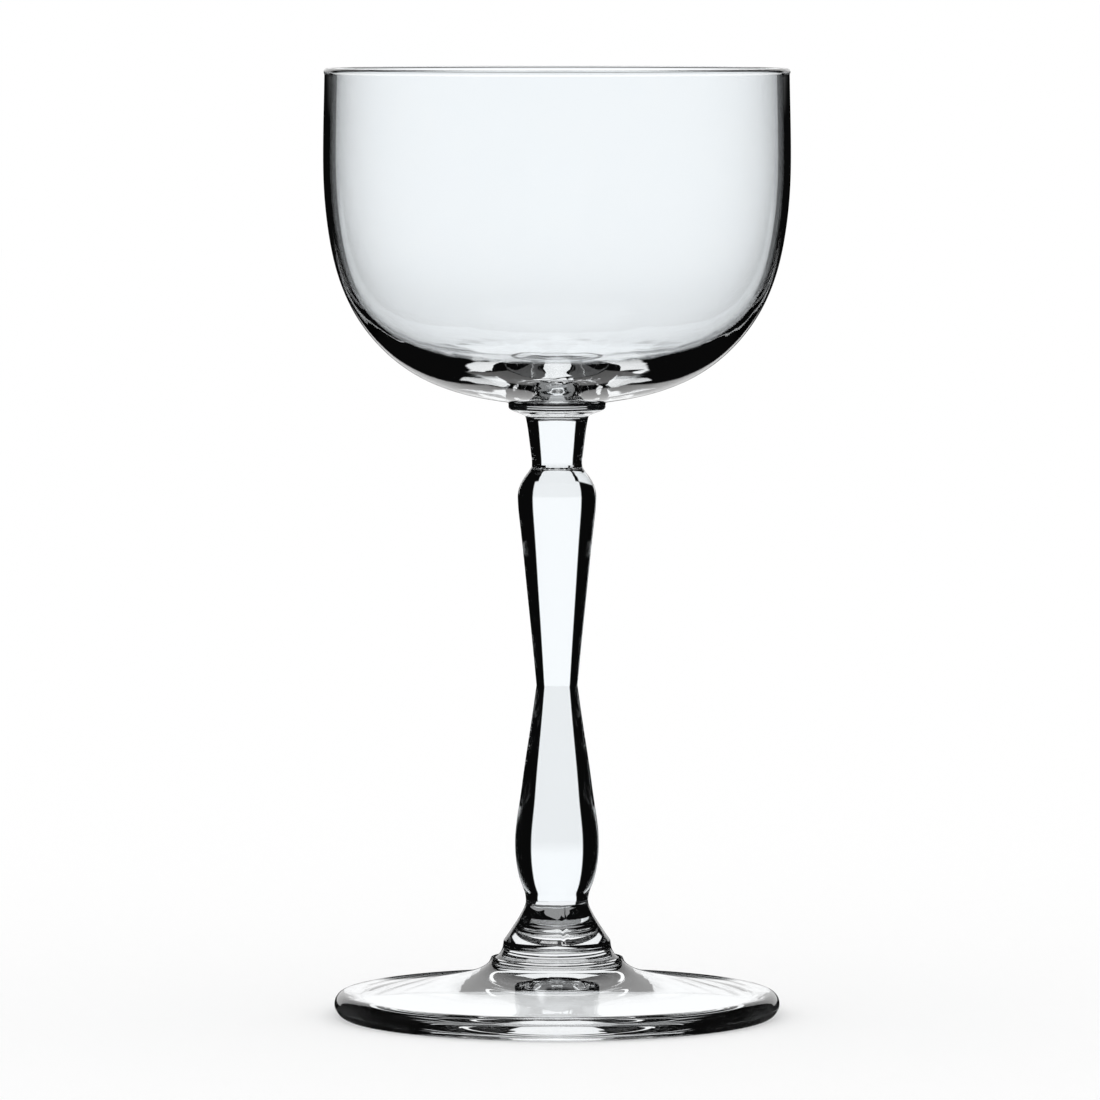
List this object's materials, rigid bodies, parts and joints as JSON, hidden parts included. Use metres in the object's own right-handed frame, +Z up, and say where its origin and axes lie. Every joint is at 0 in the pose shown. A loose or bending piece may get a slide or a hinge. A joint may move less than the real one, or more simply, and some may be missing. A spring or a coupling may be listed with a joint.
{
  "type": "nick and nora glass",
  "caption": "Stemmed cocktail glass with a deep round bowl, a button, a waisted baluster stem, a coned collar and a thick-edged disc foot.",
  "frame": {"origin": "centre of the ring that the foot rests on, on the table's plane", "axes": "+Z up along the glass's axis of turning, +X and +Y in the table's plane; the glass looks the same from every side"},
  "size_m": [0.0778, 0.0778, 0.1582],
  "materials": {
    "clear_glass": "fire-polished, clear, with a faint cold blue tint where it is thick"
  },
  "bodies": {
    "root": {"bowl": "clear_glass", "bowl_button": "clear_glass", "neck": "clear_glass", "upper_baluster": "clear_glass", "lower_baluster": "clear_glass", "foot_cone": "clear_glass", "foot_collar": "clear_glass", "foot": "clear_glass"}
  },
  "joints": []
}
